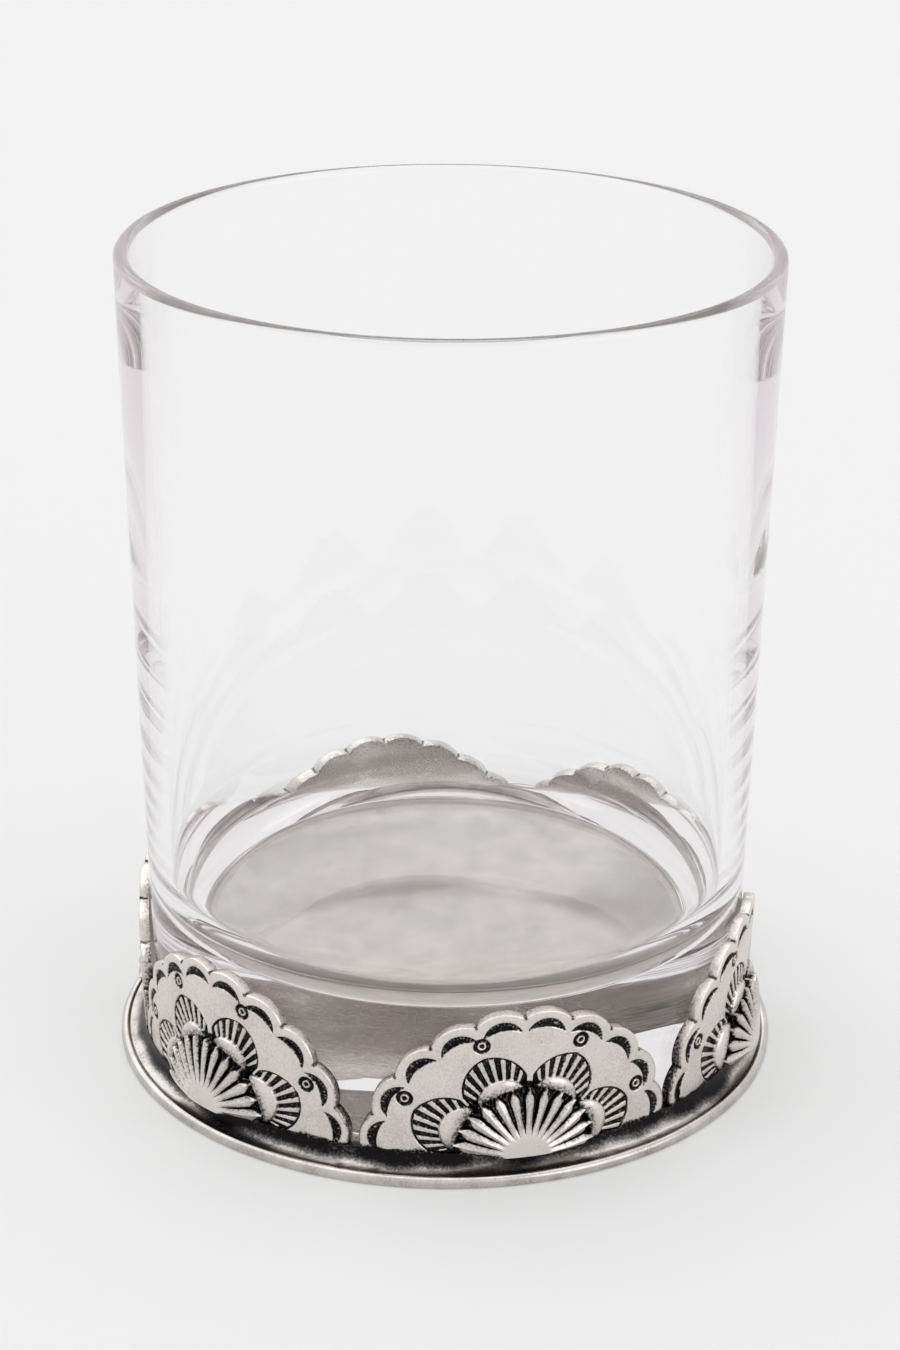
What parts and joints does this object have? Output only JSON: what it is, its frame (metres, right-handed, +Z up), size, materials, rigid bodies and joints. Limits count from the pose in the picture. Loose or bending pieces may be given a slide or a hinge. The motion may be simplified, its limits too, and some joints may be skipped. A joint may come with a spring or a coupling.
{
  "type": "double old fashioned glass",
  "caption": "Heavy-based clear glass tumbler standing in a round pewter dish ringed by scalloped half-round concho plates with ribbed shell bosses.",
  "frame": {"origin": "middle of the dish's flat underside, on the table", "axes": "+Z up along the glass's axis, -Y towards the middle of concho_1"},
  "size_m": [0.0868, 0.0868, 0.1076],
  "materials": {
    "clear_glass": "clear colourless glass, fire-polished rim",
    "pewter_dish": "satin antique pewter, dark patina in the cove",
    "pewter_concho": "satin antique pewter, black patina in the stamped marks",
    "pewter_shell": "rubbed bright pewter, black patina in the grooves"
  },
  "bodies": {
    "base": {"base_dish": "pewter_dish", "concho_1": "pewter_concho", "concho_2": "pewter_concho", "concho_3": "pewter_concho", "concho_4": "pewter_concho", "concho_5": "pewter_concho", "concho_6": "pewter_concho", "shell_boss_1": "pewter_shell", "shell_boss_2": "pewter_shell", "shell_boss_3": "pewter_shell", "shell_boss_4": "pewter_shell", "shell_boss_5": "pewter_shell", "shell_boss_6": "pewter_shell"},
    "tumbler": {"tumbler": "clear_glass"}
  },
  "joints": [
    {"name": "tumbler_lift", "type": "slide", "parent": "base", "child": "tumbler", "axis": [0, 0, 1], "range_m": [0, 0.03]}
  ]
}
